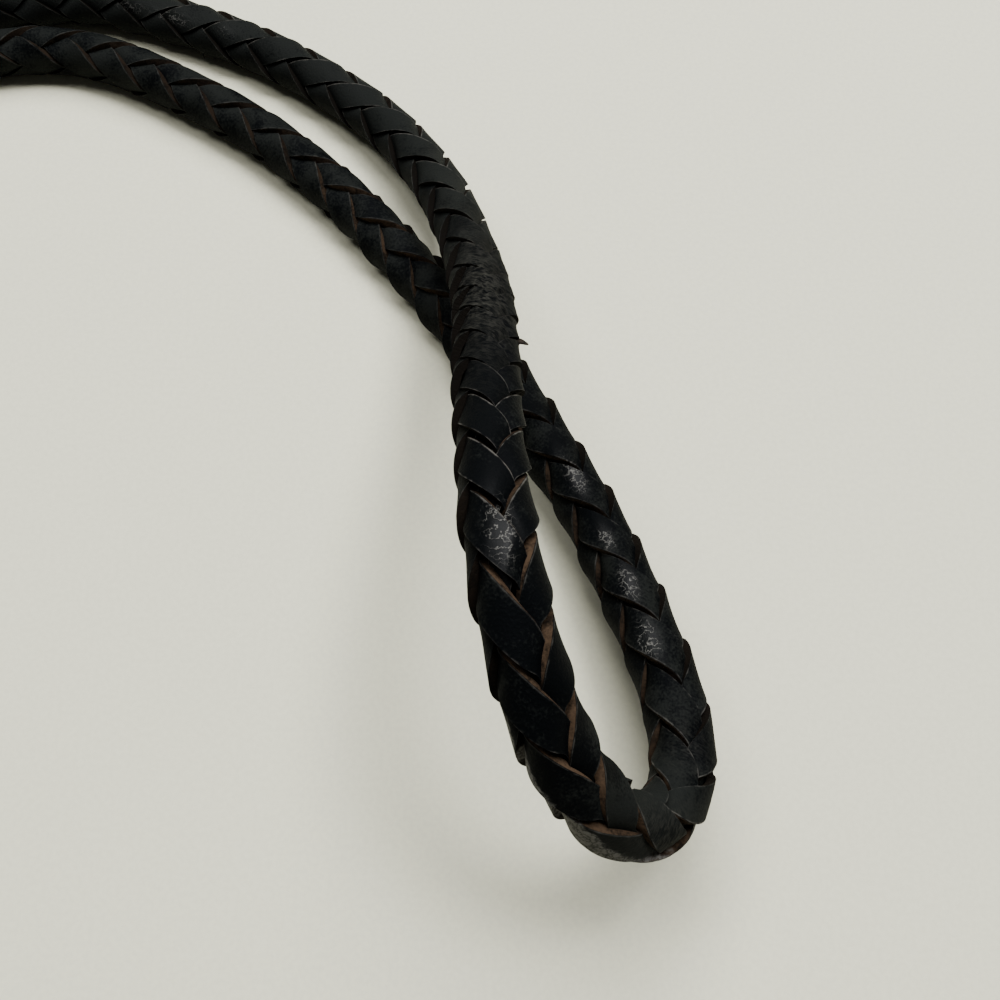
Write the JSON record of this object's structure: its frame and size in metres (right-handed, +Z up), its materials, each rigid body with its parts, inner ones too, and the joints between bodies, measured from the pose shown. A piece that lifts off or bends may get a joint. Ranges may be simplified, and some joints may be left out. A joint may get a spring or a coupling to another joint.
{
  "type": "bolo tie",
  "caption": "Bolo tie of round braided black leather cord, folded into a neck loop through a plain oval metal slide, with a plain tapered metal tip on each end, lying on a table.",
  "frame": {"origin": "middle of the tie's footprint on the table it lies on", "axes": "+Z up from the table, +X towards the neck loop and the tips, +Y away from the viewer of the picture"},
  "size_m": [0.1661, 0.181, 0.0365],
  "materials": {
    "leather": "worn black dyed lace",
    "metal": "satin silver tone"
  },
  "bodies": {
    "root": {"braided_cord": "leather", "slide": "metal", "tip_1": "metal", "tip_2": "metal"}
  },
  "joints": []
}
